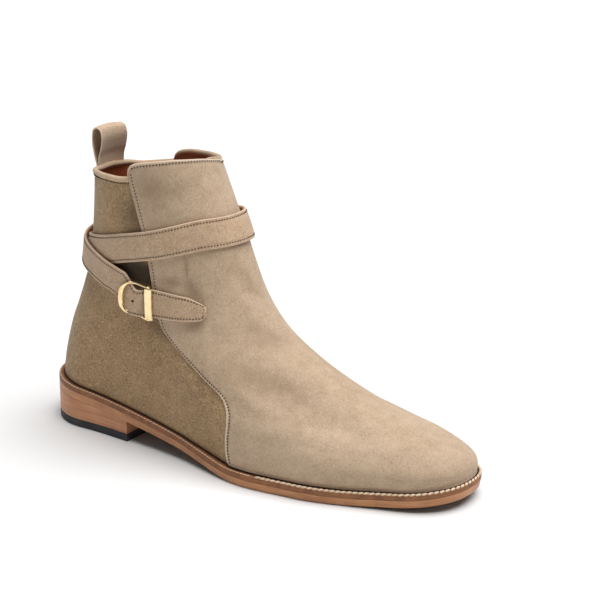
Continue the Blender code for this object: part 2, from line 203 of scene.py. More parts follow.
class Value:
    """A number that changes over a surface; sums on it add Math nodes to its finish."""

    def __init__(self, finish, socket):
        self.finish = finish
        self.socket = socket

    def math(self, operation, *values):
        return self.finish.node("ShaderNodeMath", {"operation": operation}, dict(enumerate(values)))

    def __add__(self, other):
        return self.math("ADD", self, other)

    def __sub__(self, other):
        return self.math("SUBTRACT", self, other)

    def __rsub__(self, other):
        return self.math("SUBTRACT", other, self)

    def __mul__(self, other):
        return self.math("MULTIPLY", self, other)

    def __truediv__(self, other):
        return self.math("DIVIDE", self, other)

    __radd__ = __add__
    __rmul__ = __mul__

    def ramp(self, low, high):
        """0 below low, 1 above high, eased between them."""
        return self.finish.node("ShaderNodeMapRange", {"interpolation_type": "SMOOTHSTEP"},
                                {"Value": self, "From Min": low, "From Max": high})


class Finish:
    """A material: its Principled shader and the nodes that feed it."""

    def __init__(self, name, **constants):
        self.material = bpy.data.materials.new(name)
        self.material.use_nodes = True
        self.tree = self.material.node_tree
        self.shader = self.tree.nodes["Principled BSDF"]
        for socket, value in constants.items():
            self.shader.inputs[socket.replace("_", " ")].default_value = value

    def node(self, kind, settings, inputs, output=0):
        made = self.tree.nodes.new(kind)
        for name, value in settings.items():
            setattr(made, name, value)
        for name, value in inputs.items():
            if isinstance(value, Value):
                self.tree.links.new(value.socket, made.inputs[name])
            else:
                made.inputs[name].default_value = value
        return Value(self, made.outputs[output])

    def kept(self, name):
        """Number kept on the mesh's points."""
        return self.node("ShaderNodeAttribute", {"attribute_name": name}, {}, "Fac")

    def place(self, stretch=(1, 1, 1)):
        """Object coordinates in millimetres; a pattern on them is stretched along each axis."""
        spot = self.node("ShaderNodeTexCoord", {}, {}, "Object")
        return self.node("ShaderNodeMapping", {}, {"Vector": spot, "Scale": [1000 / s for s in stretch]})

    def noise(self, size, detail=2.0, rough=0.5, where=None):
        """Cloudy pattern with spots of a size in millimetres, about 0.5 on average."""
        where = where or self.place()
        return self.node("ShaderNodeTexNoise", {},
                         {"Vector": where, "Scale": 1 / size, "Detail": detail, "Roughness": rough})

    def mix(self, share, first, second):
        """Blend of two colours, each of them a Value or a screen's red, green and blue."""
        first, second = (c if isinstance(c, Value) else tone(*c) for c in (first, second))
        return self.node("ShaderNodeMix", {"data_type": "RGBA"}, {0: share, 6: first, 7: second}, 2)

    def mottled(self, pattern, dark, light):
        """Two colours spread by a cloudy pattern."""
        return self.mix(pattern.ramp(0.3, 0.7), dark, light)

    def feed(self, **values):
        for socket, value in values.items():
            self.tree.links.new(value.socket, self.shader.inputs[socket.replace("_", " ")])

    def laid(self, height, deep, **values):
        """The finish with its shader fed, and a bump whose full range is deep, in millimetres."""
        bump = self.node("ShaderNodeBump", {}, {"Height": height, "Distance": deep * MM, "Strength": 1.0})
        self.feed(Normal=bump, **values)
        return self


def dress(name, shape, finish, slot, *nodes, sharp=40):
    """Make a piece of a shape, with its finish, and let it ride with the boot."""
    mesh = bpy.data.meshes.new(name)
    shape.to_mesh(mesh)
    shape.free()
    mesh.shade_smooth()
    mesh.set_sharp_from_angle(angle=math.radians(sharp))
    mesh.materials.append(finish.material)
    piece = bpy.data.objects.new(name, mesh)
    bpy.context.scene.collection.objects.link(piece)
    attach(piece, "root")
    if nodes:
        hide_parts(*nodes)


def rubber():
    finish = Finish("heel_rubber", Roughness=0.62)
    grain = finish.noise(0.8, 3)
    scuff = finish.noise(9, 4, 0.65)
    colour = finish.mix(scuff.ramp(0.45, 0.75), *RUBBER_TONES)
    return finish.laid(grain, 0.12, Base_Color=colour, Roughness=0.55 + 0.2 * grain)


top_piece = slab(SOLE_EDGE, eased_side(steps=4, corner=0.5, top_corner=0.3, high=HEEL_LIFT),
                 lambda x, share: HEEL_LIFT * share)
dress("heel_top_piece_rubber", cut_at_breast(top_piece), rubber(), "heel_rubber", "heel_top_piece")


# Heel stack: lifts of tan leather, glued into a wedge under the sole, trimmed, sanded and waxed.
# The lifts show as faint level lines, and the wax leaves soft streaks.
HEEL_LIFT_LINE = 3.6
HEEL_TONES = (170, 110, 72), (212, 150, 106)
LIFT_LINE_DARK = (110, 66, 40)


def heel_leather():
    finish = Finish("heel_leather", Roughness=0.45, Coat_Weight=0.12, Coat_Roughness=0.4)
    streak = finish.noise(5, 3, 0.6, finish.place((14, 14, 0.5)))
    cloud = finish.noise(16, 2)
    height = finish.node("ShaderNodeSeparateXYZ", {}, {"Vector": finish.place()}, "Z")
    lifts = height / HEEL_LIFT_LINE
    groove = 1 - lifts.math("FRACT", lifts).ramp(0.0, 0.10)
    colour = finish.mottled(0.55 * streak + 0.45 * cloud, *HEEL_TONES)
    colour = finish.mix(0.22 * groove, colour, LIFT_LINE_DARK)
    relief = 0.7 * streak - 0.3 * groove
    return finish.laid(relief, 0.12, Base_Color=colour, Roughness=0.38 + 0.2 * streak)


stack = slab(SOLE_EDGE, eased_side(steps=3, corner=0.2, top_corner=0.02, high=10),
             lambda x, share: HEEL_LIFT + share * (read(UNDERSIDE, x) - HEEL_LIFT))
dress("heel_stack_leather", cut_at_breast(stack), heel_leather(), "sole_leather", "heel_stack")


# Outsole: one plate of tan sole leather from heel to toe, with its arch and toe spring.
# Its edge is trimmed a little inwards below, sanded and waxed.
SOLE_THICK = 5.0
SOLE_TAPER = 1.0
HEEL_TURN = 60
HEEL_TURN_EASE = 18
SIDE_INSET = 2
SOLE_TONES = (162, 105, 62), (205, 145, 94)
TREAD_DARK = (98, 74, 56)


def sole_leather():
    finish = Finish("sole_leather", Roughness=0.42, Coat_Weight=0.15, Coat_Roughness=0.35)
    along = finish.kept("along_mm")
    share = finish.kept("share")
    where = finish.node("ShaderNodeCombineXYZ", {}, {0: along / 14, 1: share * 4})
    streak = finish.noise(1, 4, 0.6, where)
    cloud = finish.noise(18, 2)
    tread = 1 - share.ramp(0.0, 0.06)
    colour = finish.mottled(0.6 * streak + 0.4 * cloud, *SOLE_TONES)
    colour = finish.mix(0.85 * tread, colour, TREAD_DARK)
    relief = 0.6 * streak + 0.4 * finish.noise(1.2, 3)
    return finish.laid(relief, 0.1, Base_Color=colour, Roughness=0.36 + 0.2 * streak + 0.2 * tread)


def sole_trim(turn, inset, share):
    """Draw the sole's edge in below, but leave it flush with the heel along the heel."""
    from_back = 180 - np.abs(np.mod(turn, 360) - 180)
    off_heel = np.clip((from_back - HEEL_TURN) / HEEL_TURN_EASE, 0, 1)
    side = inset < SIDE_INSET
    return np.where(side, off_heel * (inset + SOLE_TAPER * (1 - share)), inset)


outsole = slab(SOLE_EDGE, eased_side(steps=4, corner=0.6, top_corner=0.25, high=SOLE_THICK),
               lambda x, share: read(UNDERSIDE, x) + SOLE_THICK * share, sole_trim)
dress("outsole_leather", outsole, sole_leather(), "sole_leather", "outsole")


# Welt: a dark strip of leather all round on the sole, to which upper and sole are sewn.
# Its upper corner is a little paler, and painted deep shade lies along the foot of the upper.
WELT_THICK = 3.3
WELT_TONES = (122, 76, 42), (150, 97, 56)
WELT_PALE_CORNER = (206, 160, 118)
WELT_SHADED = (40, 23, 13)
VAMP_HIGH = 1.6
VAMP_FOOT = 94
FEATHER_EDGE = (3.5, 295.5, 30.0, 31.5, 42.5, 44.3, 34.5, *EDGE_ENDS)
WELT_SECTION = [
    # share of the way in to the feather line, height
    (0.06, 0.0), (0.0, 0.3), (0.0, 1.1), (0.0, 2.0), (0.03, 2.75), (0.09, 3.15), (0.2, 3.3), (0.35, 3.3),
    (0.5, 3.25), (0.62, 3.2), (0.74, 3.15), (0.87, 3.2), (1.0, 3.4), (1.6, 3.4), (1.6, 0.0),
]


def welt_place(turn, row):
    across, height = np.array(WELT_SECTION)[row.astype(int) % len(WELT_SECTION)].T
    outer = outline(SOLE_EDGE, turn, 0.0)
    inner = outline(FEATHER_EDGE, turn, 0.0)
    x, y = (a + (b - a) * across for a, b in zip(outer, inner))
    wide = np.hypot(inner[0] - outer[0], inner[1] - outer[1])
    face = np.where(np.abs(np.mod(turn, 360) - 180) < 180 - VAMP_FOOT, VAMP_HIGH, 0.0)
    points = np.stack([x, y, read(UNDERSIDE, x) + SOLE_THICK + height], -1)
    return points, {"share": height / WELT_THICK, "feather_mm": (1 - across) * wide - face}


def welt_leather():
    finish = Finish("welt_leather", Roughness=0.55, Coat_Weight=0.05, Coat_Roughness=0.4)
    share = finish.kept("share")
    feather = finish.kept("feather_mm")
    streak = finish.noise(6, 3, 0.6)
    pale_corner = share.ramp(0.8, 0.97) * feather.ramp(0.8, 2.0)
    colour = finish.mottled(streak, *WELT_TONES)
    colour = finish.mix(0.3 * pale_corner * streak, colour, WELT_PALE_CORNER)
    colour = finish.mix(0.9 - 0.9 * feather.ramp(0.3, 1.0), colour, WELT_SHADED)
    relief = streak + 0.5 * finish.noise(0.7, 3)
    return finish.laid(relief, 0.12, Base_Color=colour, Roughness=0.45 + 0.25 * streak)


welt = closed_grid(EDGE_TURNS, np.arange(len(WELT_SECTION) + 1), welt_place)
dress("welt_strip", welt, welt_leather(), "welt_leather", "welt")


# Welt stitches: thick waxed cream thread, sewn by lockstitch through welt and sole. They lie
# aslant on the welt, large round the forefoot and smaller along waist and heel.
WELT_STITCH_AT = 0.22
WELT_ROWS = [
    # name, first turn, last turn, lift over the welt, pitch, length, thickness, slant
    ("welt_stitches", 103, 257, 0.1, 3.4, 3.7, 1.6, 0.3),
    ("heel_stitches", -102, 102, -0.1, 2.6, 2.2, 0.8, 0.25),
]
WELT_ROW_POINTS = 800
WELT_THREAD = (204, 174, 142), (240, 216, 188)
STITCH_SIDES = 8
STITCH_RINGS = 6


def stitched(name, rows, long, thick, finish, slot, slant=0.0):
    """Join one short thread for every (points, tangents, outward directions) of the rows."""
    base = bmesh.new()
    bmesh.ops.create_uvsphere(base, u_segments=STITCH_SIDES, v_segments=STITCH_RINGS, radius=0.5)
    bmesh.ops.rotate(base, verts=base.verts, matrix=Matrix.Rotation(math.pi / 2, 3, "Y"))
    bmesh.ops.scale(base, verts=base.verts, vec=(long, thick, thick))
    form = np.array([vert.co for vert in base.verts])
    sides = [[vert.index for vert in face.verts] for face in base.faces]
    base.free()
    spots = []
    faces = []
    for points, tangents, outs in rows:
        for point, tangent, out in zip(points, tangents, outs):
            side = np.cross(out, tangent)
            lean = tangent * math.cos(slant) + side * math.sin(slant)
            axes = np.stack([lean, np.cross(out, lean), out])
            start = len(spots) * len(form)
            faces += [[start + i for i in corner] for corner in sides]
            spots.append(in_frame(point + form @ axes))
    mesh = bpy.data.meshes.new(name)
    mesh.from_pydata(np.concatenate(spots), [], faces)
    shape = bmesh.new()
    shape.from_mesh(mesh)
    bpy.data.meshes.remove(mesh)
    dress(name, shape, finish, slot, sharp=180)


def distance(vectors):
    return np.linalg.norm(vectors, axis=-1)


def unit(vectors):
    return vectors / distance(vectors)[..., None]


def run_along(path):
    """Distance of each point of a path from its first one, measured along it."""
    return np.concatenate([[0], np.cumsum(distance(np.diff(path, axis=0)))])


def along(path, outs, pitch):
    """Even places on a line: points, tangents and outward directions every pitch millimetres."""
    run = run_along(path)
    at = np.arange(pitch / 2, run[-1], pitch)

    def spread(values):
        return np.stack([np.interp(at, run, values[:, i]) for i in range(3)], -1)

    tangents = unit(spread(np.gradient(path, run, axis=0)))
    outs = unit(spread(outs))
    outs = unit(outs - tangents * (outs * tangents).sum(1, keepdims=True))
    return spread(path), tangents, outs


def welt_row(first, last, height):
    turn = np.linspace(first, last, WELT_ROW_POINTS)
    outer = np.stack(outline(SOLE_EDGE, turn, 0.0), -1)
    inner = np.stack(outline(FEATHER_EDGE, turn, 0.0), -1)
    spot = outer + (inner - outer) * WELT_STITCH_AT
    z = read(UNDERSIDE, spot[:, 0]) + SOLE_THICK + height
    return np.column_stack([spot, z]), np.tile((0.0, 0.0, 1.0), (len(turn), 1))


def thread(name, dark, light, rough):
    finish = Finish(name, Roughness=rough)
    fray = finish.noise(0.5, 2)
    return finish.laid(fray, 0.15, Base_Color=finish.mottled(fray, dark, light))


welt_thread = thread("welt_thread", *WELT_THREAD, rough=0.6)
for row_name, first, last, lift, pitch, long, thick, slant in WELT_ROWS:
    row = along(*welt_row(first, last, WELT_THICK + lift), pitch)
    stitched(row_name, [row], long, thick, welt_thread, "welt_leather", slant)


# Insole: a board covered with cognac lining leather, inside the welt's ring under the foot.
# It is cut to the last's sole and lasted under the edge of the upper.
INSOLE_RISE = 6.3
INSOLE_EDGE = (6.4, 290.1, 27.0, 28.5, 39.5, 41.3, 31.5, *EDGE_ENDS)
LINING_TONES = (126, 62, 30), (184, 104, 62)


def lining_leather(name, dark, light):
    finish = Finish(name, Roughness=0.55)
    pore = finish.noise(1.1, 4, 0.6)
    cloud = finish.noise(22, 3)
    colour = finish.mottled(0.5 * pore + 0.5 * cloud, dark, light)
    return finish.laid(pore, 0.14, Base_Color=colour, Roughness=0.45 + 0.25 * pore)


lining_finish = lining_leather("lining_leather", *LINING_TONES)
insole = slab(INSOLE_EDGE, eased_side(steps=4, corner=0.3, top_corner=0.8, high=INSOLE_RISE),
              lambda x, share: read(UNDERSIDE, x) + SOLE_THICK + INSOLE_RISE * share)
dress("insole_leather", insole, lining_finish, "lining_leather", "insole")


# Quarters: the rear half of the upper, darker taupe suede with a coarse nap, lasted over the
# heel and closed by a seam behind. The vamp is sewn over their front edges.
LAST = [
    # back_z back_x front_z front_x heel waist joint ball toe  heel_end toe_end toe_square
    (29.27, FEATHER_EDGE[0], 14.15, *FEATHER_EDGE[1:]),  # feather
    (37, 5.0, 21, 294.5, 31.0, 33.0, 44.0, 45.5, 35.5, 0.115, 0.205, 2.3),  # bite
    (46, 6.5, 29, 284.5, 31.5, 34.0, 43.0, 42.0, 32.0, 0.130, 0.230, 2.2),  # toe wall
    (56, 9.0, 36, 257, 31.5, 34.0, 40.5, 38.5, 29.0, 0.150, 0.290, 2.1),  # toe top
    (67, 12.0, 48, 222.5, 31.0, 33.5, 38.0, 37.0, 30.0, 0.190, 0.320, 2.0),  # low vamp
    (79, 16.5, 61, 195.0, 30.5, 33.0, 35.5, 35.0, 31.0, 0.250, 0.360, 2.0),  # vamp
    (92, 21.0, 77, 170.0, 30.0, 32.5, 33.5, 33.5, 31.5, 0.330, 0.400, 2.0),  # instep
    (106, 25.5, 96, 153.8, 30.5, 32.5, 33.0, 33.0, 32.0, 0.420, 0.460, 2.0),  # low strap
    (120, 28.0, 116, 143.6, 31.5, 33.0, 33.0, 33.0, 32.5, 0.480, 0.500, 2.0),  # ankle
    (134, 30.5, 136, 134.4, 33.0, 33.5, 33.5, 33.5, 33.5, 0.500, 0.500, 2.0),  # strap
    (149, 33.0, 157, 124.2, 34.0, 34.5, 34.5, 34.5, 34.5, 0.500, 0.500, 2.0),  # cuff
    (163.5, 35.0, 176.5, 115, 34.5, 35.0, 35.0, 35.0, 35.0, 0.500, 0.500, 2.0),  # collar
    (172, 36.0, 185, 111.5, 34.8, 35.3, 35.3, 35.3, 35.3, 0.500, 0.500, 2.0),  # flap top
]
SOLE_FOLLOWS_TO = 4.0
STRAIGHT_FROM = 9.0
COLLAR = 11.0
VAMP_EDGES = [
    # level, turns from the back to the vamp's rear edges on the outer and on the inner side
    (0.0, 94.2, 94.2), (1.0, 93.7, 93.7), (2.1, 96.3, 95.5), (3.0, 101.4, 98.0), (3.7, 104.8, 99.0),
    (4.6, 102.3, 96.0), (5.9, 95.9, 88.0), (7.5, 98.0, 81.5), (9.7, 99.2, 75.0), (12.0, 98.7, 71.0),
]
COLLAR_LINE = [
    # turn from the back, towards the outer side, level of the quarters' top
    (-110, 10.72), (-70, 10.72), (-46, 10.77), (-20, 11.08), (0, 11.2), (45, 11.2),
    (70, 11.08), (90, 10.93), (110, 10.9),
]
LEVEL_STEP = 0.02
FOOT_LEVEL = 0.3
UNDER_VAMP = 7.0
FOOT_TUCK = 0.9
FOOT_TUCK_HIGH = 2.2
QUARTER_TUCK = 0.7
QUARTER_THICK = 1.25
BACK_SEAM_DEEP = 0.5
BACK_SEAM_WIDE = 0.7
BACK_SEAM_TURN = 20
EDGE_STEPS = (0, 0.1, 0.25, 0.45, 0.7, 1.0, 1.5, 2.2)
FINE_WELD = 0.01
TINY = 1e-9
SUEDE_CLOUD = 45
SUEDE_PATCH = 8
SUEDE_FLECK = 1.25
DEEP_NAP = 0.72
# dark, light and raw edge, as in every suede
QUARTER_TONES = (131, 102, 68), (187, 156, 117), (207, 178, 140)
QUARTER_SHADED = (38, 28, 13)
SEAM_DARK = (70, 54, 38)
# shade between the strap's two turns: level, half height, turn where it starts, turns until it is full
BETWEEN_TURNS = (7.72, 0.52, 46, 18)
BY_THE_VAMP = [
    # soft shades along the vamp's edge: level, its reach, turn, its reach, strength
    (5.85, 0.6, 95, 14, 0.5),
    (9.7, 0.7, 99, 18, 0.65),
]


def surface(level, turn):
    """Outer face of the last at levels from the sole up, all round from the back."""
    level, turn = np.broadcast_arrays(np.asarray(level, float), np.asarray(turn, float))
    columns = [smooth(range(len(LAST)), column, level) for column in zip(*LAST)]
    back_z, back_x, front_z, front_x, *breadths = columns
    angle = np.radians(turn)
    share = (1 - np.cos(angle)) / 2
    x = back_x + (front_x - back_x) * share
    back_floor, front_floor, floor = (read(UNDERSIDE, at) for at in (back_x, front_x, x))
    bow = np.maximum(0, 1 - level / SOLE_FOLLOWS_TO) ** 2
    z = back_z + (front_z - back_z) * share
    z = z + bow * (floor - back_floor - (front_floor - back_floor) * share)
    sway = read(CENTRE_LINE, x) * np.maximum(0, 1 - level / STRAIGHT_FROM)
    y = sway - half_breadth(share, *breadths) * np.sign(np.sin(angle))
    return np.stack([x, y, z], -1)


def outward(level, turn):
    """Directions square to the last's face; level with the floor at its foot."""
    around = surface(level, turn - 1) - surface(level, turn + 1)
    above = surface(np.minimum(level + LEVEL_STEP, len(LAST) - 1), turn)
    below = surface(np.maximum(level - LEVEL_STEP, 0), turn)
    out = np.cross(above - below, around)
    out[..., 2] *= np.clip(level / FOOT_LEVEL, 0, 1)
    return unit(out)


def paced(count, length, fine=EDGE_STEPS):
    """Shares of a length: fine steps in millimetres at its ends, even ones between."""
    first = np.array(fine) / length
    last = 1 - first[::-1]
    return np.concatenate([first, np.linspace(first[-1], last[0], count + 2)[1:-1], last])


def bell(gap, reach, power=2):
    """Soft hump: 1 where the gap is zero, fading over its reach."""
    return np.exp(-(gap / reach) ** power)


def panel(columns, rows, face, low, high, round_off, closed=False, groove=None):
    """Sheet of leather over a form, between two lifts, with rounded edges. face(u, v) gives points,
    outward directions and marks to keep; the sheet keeps its distance from the nearest cut edge.
    A groove is (distance from the edge, depth, width) where a seam pulls the sheet in."""
    columns = np.asarray(columns, float)
    rows = np.asarray(rows, float)
    across, up = np.meshgrid(columns, rows)
    points, outs, marks = face(across, up)
    steps = distance(np.diff(points, axis=1))
    rises = distance(np.diff(points, axis=0))
    left = np.pad(np.cumsum(steps, 1), ((0, 0), (1, 0)))
    below = np.pad(np.cumsum(rises, 0), ((1, 0), (0, 0)))
    edge = np.minimum(below, below[-1:] - below)
    if not closed:
        edge = np.minimum(edge, np.minimum(left, left[:, -1:] - left))
    full = np.sqrt(1 - (1 - np.clip(edge / round_off, 0, 1)) ** 2)
    low, high = (np.broadcast_to(lift, edge.shape) for lift in (low, high))
    marks = {"edge_mm": edge, **marks}
    shape = bmesh.new()
    for side in (1, -1):
        lifts = (high + low) / 2 + side * (high - low) / 2 * full
        if groove:
            lifts = lifts - groove[1] * bell(edge - groove[0], groove[2])
        spots = points + outs * lifts[..., None]

        def place(u, v):
            i = np.searchsorted(rows, v - TINY)
            j = np.searchsorted(columns, u - TINY)
            return spots[i, j], {name: mark[i, j] for name, mark in marks.items()}

        draped(shape, columns, rows, place)
    bmesh.ops.remove_doubles(shape, verts=shape.verts, dist=FINE_WELD * MM)
    bmesh.ops.dissolve_degenerate(shape, edges=shape.edges, dist=FINE_WELD / 2 * MM)
    bmesh.ops.recalc_face_normals(shape, faces=shape.faces)
    return shape


def suede(name, dark, light, raw, coarse, speck, marks_and_painted_shade=lambda finish: ()):
    """Brushed suede: soft clouds, fine nap, pale and dark specks and a pale cut edge. Over them go
    the marks and painted shade, each a share and a colour."""
    finish = Finish(name, Roughness=0.95, Sheen_Weight=0.18, Sheen_Roughness=0.45)
    cloud = finish.noise(SUEDE_CLOUD, 2, 0.5)
    patch = finish.noise(SUEDE_PATCH, 3, 0.6)
    nap = finish.noise(coarse, 3, 0.7)
    grain = finish.noise(coarse * 0.45, 2, 0.7)
    shade = (0.5 + 0.4 * (cloud - 0.5) + 0.5 * (patch - 0.5)
             + speck * (1.2 * (nap - 0.5) + 1.0 * (grain - 0.5)))
    colour = finish.mix(shade.ramp(0.0, 1.0), dark, light)
    fleck = finish.noise(SUEDE_FLECK, 2, 0.6)
    strength = 0.65 * speck ** 2
    colour = finish.mix(strength * fleck.ramp(0.58, 0.69), colour, raw)
    deep = [DEEP_NAP * c for c in dark]
    colour = finish.mix(strength * (1 - fleck.ramp(0.31, 0.42)), colour, deep)
    cut = 1 - finish.kept("edge_mm").ramp(0.1, 0.75)
    colour = finish.mix(0.65 * cut, colour, raw)
    for share, overlay_colour in marks_and_painted_shade(finish):
        colour = finish.mix(share, colour, overlay_colour)
    return finish.laid(0.6 * nap + 0.4 * grain, 0.3, Base_Color=colour, Roughness=0.88 + 0.12 * nap)


def foot_tuck(points):
    """How far the upper is drawn in where it meets the welt."""
    rise = points[..., 2] - read(UNDERSIDE, points[..., 0]) - SOLE_THICK - WELT_THICK
    return FOOT_TUCK * bell(rise, FOOT_TUCK_HIGH)


def collar_line(turn):
    return read(COLLAR_LINE, turn)


def soft_spots(level, turn, table):
    """Soft round marks for the rows of a table of level, its reach, turn, its reach, strength."""
    return [strong * bell(level - middle, high) * bell(turn - around, wide)
            for middle, high, around, wide, strong in table]


def quarter_face(u, v):
    def turned(level):
        outer, inner = read_all(VAMP_EDGES, level)
        return u * (np.where(u > 0, outer, inner) + UNDER_VAMP)

    level = v * collar_line(turned(COLLAR))
    turn = turned(level)
    outs = outward(level, turn)
    points = surface(level, turn)
    seam = bell(points[..., 1], BACK_SEAM_WIDE) * (np.abs(turn) < BACK_SEAM_TURN)
    # Painted shade between the strap's two turns and beside the vamp's edge.
    middle, high, start, ease = BETWEEN_TURNS
    between = bell(level - middle, high, 4) * np.clip((turn - start) / ease, 0, 1)
    shade = np.max([between, *soft_spots(level, turn, BY_THE_VAMP)], axis=0)
    press = BACK_SEAM_DEEP * seam + QUARTER_TUCK * foot_tuck(points)
    return points - press[..., None] * outs, outs, {"shade": np.clip(shade, 0, 1), "seam": seam}


# Painted shade between the strap's turns and beside the vamp's edge, then the dark back seam.
def quarter_painted_shade_and_seam(finish):
    return (0.93 * finish.kept("shade"), QUARTER_SHADED), (0.7 * finish.kept("seam"), SEAM_DARK)


seam_columns = np.linspace(-0.03, 0.03, 25)
quarter_columns = np.unique(np.concatenate([np.linspace(-1, 1, 181), seam_columns]))
quarters = panel(quarter_columns, paced(100, length=160), quarter_face, -QUARTER_THICK, 0.0, round_off=0.6)
quarter_suede = suede("quarter_suede", *QUARTER_TONES, coarse=1.3, speck=1.0, marks_and_painted_shade=quarter_painted_shade_and_seam)
dress("quarters_suede", quarters, quarter_suede, "suede", "upper")


# Lining: cognac leather sewn inside the upper from the collar down to the insole.
# Behind the vamp it is thicker, because there it also stands for the vamp's own backing.
WALL_THICK = 2.0
LINING_FACE = -1.2
BACKING_FACE = 0.1
TOP_EDGE = [
    # turn, level of the top edge
    (0, 11.2), (45, 11.2), (70, 11.08), (90, 10.93), (98.6, 10.9), (99.3, 11.3), (100.7, 11.62),
    (103.2, 11.83), (106.5, 11.95), (112.5, 12.0), (125, 11.95), (142, 11.85), (168, 11.5), (187, 11.2),
    (205, 11.0), (230, 10.97), (253, 11.05), (270, 11.16), (278, 11.15), (283, 11.08), (286, 10.95),
    (288, 10.75), (290, 10.72), (314, 10.77), (340, 11.08), (360, 11.2),
]


def top_edge(turn):
    return np.interp(np.mod(turn, 360), *zip(*TOP_EDGE))


def lining_face(u, v):
    level = top_edge(u) * v
    return surface(level, u), outward(level, u), {}


lining_turns = np.linspace(0, 360, 241)
lining_rows = paced(80, length=165)
vamp_starts = [edge + UNDER_VAMP / 2 for edge in read_all(VAMP_EDGES, COLLAR * lining_rows[:, None])]
behind_vamp = (lining_turns > vamp_starts[0]) & (lining_turns < 360 - vamp_starts[1])
lining_high = np.where(behind_vamp, BACKING_FACE, LINING_FACE)
lining = panel(lining_turns, lining_rows, lining_face, -WALL_THICK, lining_high, round_off=0.8, closed=True)
dress("lining_leather_sheet", lining, lining_finish, "lining_leather", "upper")


# Vamp: the whole front, paler sand suede in one piece from the toe to the collar, laid over the
# quarters. Its flap stands above the collar on the outer side, and its cut edges stay raw.
VAMP_LOW = 0.1
#              from the edge, depth, width
VAMP_GROOVE = (2.5, 0.35, 0.9)
VAMP_TONES = (158, 133, 104), (208, 183, 157), (229, 205, 180)
VAMP_RIM = (234, 211, 187)
VAMP_SHADED = (112, 88, 64)
VAMP_STEPS = (0, 0.1, 0.25, 0.45, 0.7, 1.0, 1.4, 1.8, 2.2, 2.6, 3.0, 3.5, 4.1)
VAMP_CREASES = [
    # width and depth in millimetres, then (level, turn) along the crease
    (1.3, 0.85, (8.5, 126.8), (8.07, 124.0), (7.6, 122.3)),
    (4.2, 0.95, (7.85, 121.5), (7.45, 123.4), (7.12, 128.0)),
    (4.0, 0.8, (7.6, 106), (7.58, 112), (7.62, 119)),
    (4.0, 0.7, (6.2, 112), (6.23, 117.6), (6.5, 125.4)),
    (5.0, 0.6, (8.3, 165), (7.6, 172), (7.2, 184)),
    (6.0, 0.6, (6.6, 150), (6.1, 163), (5.9, 180)),
    (7.0, 0.6, (4.9, 118), (4.4, 132), (4.2, 150)),
    (5.0, 0.4, (10.6, 112), (10.4, 130), (10.5, 150)),
]
CREASE_POINTS = 25
CREASE_SHADE = 0.5
VAMP_PAINTED_SHADE = [
    # painted shade on the flap and low on the toe's front: level, its reach, turn, its reach, strength
    (10.7, 1.1, 114, 19, 0.32),
    (1.0, 0.8, 172, 20, 0.3),
]


def crease_depth(points, creases):
    """How far soft troughs press a face in at each point."""
    deep = np.zeros(points.shape[:-1])
    for wide, depth, *route in creases:
        levels, turns = np.transpose(route)
        knots = np.linspace(0, 1, len(route))
        at = np.linspace(0, 1, CREASE_POINTS)
        line = surface(np.interp(at, knots, levels), np.interp(at, knots, turns))
        fade = np.sin(math.pi * (0.1 + 0.8 * at))
        gaps = distance(points[..., None, :] - line)
        deep = np.maximum(deep, (depth * fade * bell(gaps, wide)).max(-1))
    return deep


def vamp_face(u, v):
    def turned(level):
        outer, inner = read_all(VAMP_EDGES, level)
        return outer + (360 - outer - inner) * u

    level = v * top_edge(turned(COLLAR))
    turn = turned(level)
    points = surface(level, turn)
    outs = outward(level, turn)
    crease = crease_depth(points, VAMP_CREASES)
    press = crease + foot_tuck(points)
    # Painted shade: darker in the creases, on the flap and low on the toe's front.
    shade = CREASE_SHADE * crease + sum(soft_spots(level, turn, VAMP_PAINTED_SHADE))
    return points - outs * press[..., None], outs, {"shade": np.clip(shade, 0, 1)}


# The pale rim beside the cut edge, then the painted shade.
def vamp_rim_and_painted_shade(finish):
    rim = 1 - finish.kept("edge_mm").ramp(1.3, 2.3)
    return (0.6 * rim, VAMP_RIM), (finish.kept("shade"), VAMP_SHADED)


vamp_columns = paced(230, length=320, fine=VAMP_STEPS)
vamp_rows = paced(150, length=190, fine=VAMP_STEPS)
vamp = panel(vamp_columns, vamp_rows, vamp_face, VAMP_LOW, VAMP_HIGH, round_off=0.8, groove=VAMP_GROOVE)
vamp_suede = suede("vamp_suede", *VAMP_TONES, coarse=0.9, speck=0.62, marks_and_painted_shade=vamp_rim_and_painted_shade)
dress("vamp_suede_sheet", vamp, vamp_suede, "suede", "vamp")


# Collar binding: a strip of suede rolled over the top edge of lining and quarters into a bead.
# A second one finishes the vamp's top on the inner side; the flap's own edge has none.
BINDING_ROUND = 1.7
BINDING_SIDES = 12
BINDING_COLUMNS = 181
BINDING_END = 2.0
END_STEPS = np.array((0, 0.15, 0.4, 0.8, 1.4))
NO_CUT_EDGE = 2.0
COLLAR_BEAD_LIFT = -0.5
LOOP_SEAT_DEEP = 1.6
LOOP_SEAT_TURN = 26
VAMP_BEAD_LIFT = -0.1
BINDING_TONES = (172, 143, 113), (212, 186, 156), (212, 186, 156)


def rolled_edge(first, last, grows, level_at, lift_at):
    """Bead along a top edge between two turns, growing from its first one, with a round end."""
    def place(turn, side):
        level = level_at(turn)
        out = outward(level, turn)
        centre = surface(level, turn) + out * lift_at(turn)[:, None]
        ends = np.clip(np.minimum((turn - first) / grows, (last - turn) / BINDING_END), 0, 1)
        round_mm = (BINDING_ROUND * np.sqrt(1 - (1 - ends) ** 2))[:, None]
        angle = np.radians(side)[:, None]
        points = centre + round_mm * (out * np.cos(angle) + np.array((0.0, 0.0, 1.0)) * np.sin(angle))
        return points, {"edge_mm": NO_CUT_EDGE}

    even = np.linspace(first + BINDING_END, last - BINDING_END, BINDING_COLUMNS)
    turns = np.concatenate([first + END_STEPS, even, last - END_STEPS[::-1]])
    sides = np.linspace(0, 360, BINDING_SIDES + 1)
    return closed_grid(turns, sides, place, FINE_WELD)


def collar_bead_lift(turn):
    """The bead lies further in where the pull loop passes behind it."""
    return COLLAR_BEAD_LIFT - LOOP_SEAT_DEEP * bell(turn, LOOP_SEAT_TURN, 6)


